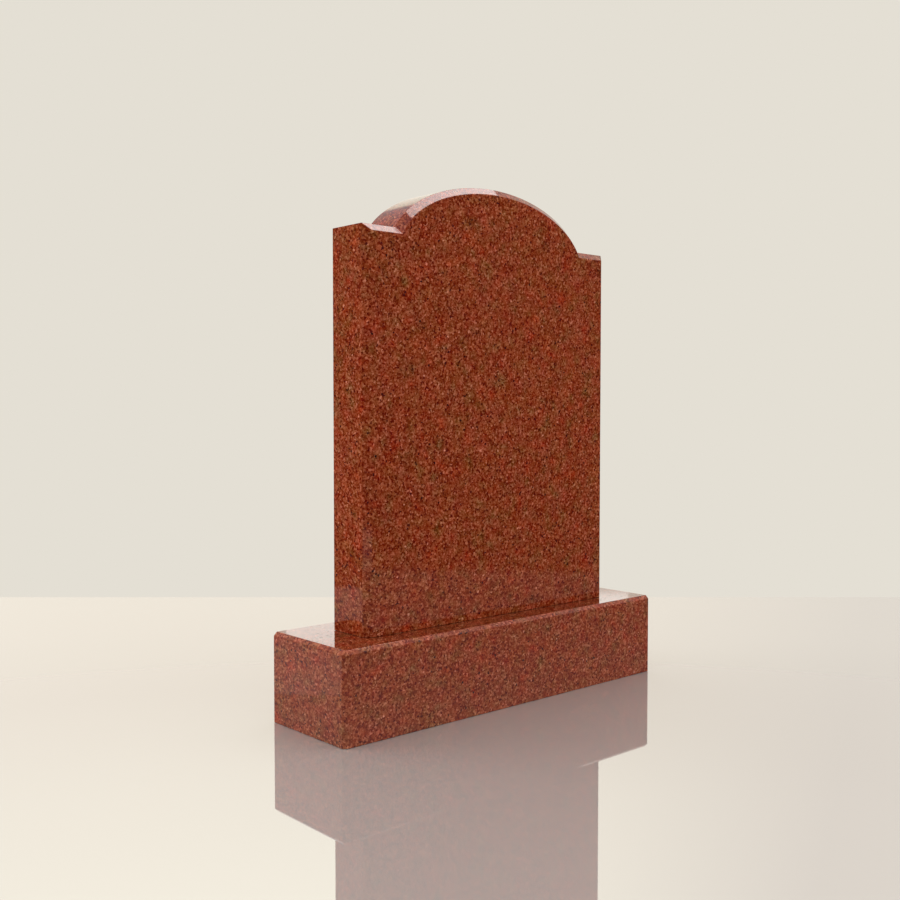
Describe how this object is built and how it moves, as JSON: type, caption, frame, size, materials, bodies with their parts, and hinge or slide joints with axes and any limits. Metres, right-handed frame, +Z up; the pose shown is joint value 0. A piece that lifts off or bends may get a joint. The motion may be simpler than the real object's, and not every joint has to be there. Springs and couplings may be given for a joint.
{
  "type": "upright headstone",
  "caption": "Upright headstone in polished red granite: a blank tablet with square shoulders, a raised curved crown and a chamfered front face, standing on a plain chamfered base.",
  "frame": {"origin": "centre of the base's underside, where the headstone stands on its foundation", "axes": "+Z up the tablet, -Y out of the chamfered front face, +X to the right of someone who looks at that face"},
  "size_m": [0.783, 0.212, 0.9488],
  "materials": {
    "base_granite": "polished red granite, fine even grain of red, orange-brown, grey-olive and near-black crystals",
    "tablet_granite": "polished red granite, fine even grain of red, orange-brown, grey-olive and near-black crystals"
  },
  "bodies": {
    "root": {"base": "base_granite", "tablet": "tablet_granite"}
  },
  "joints": []
}
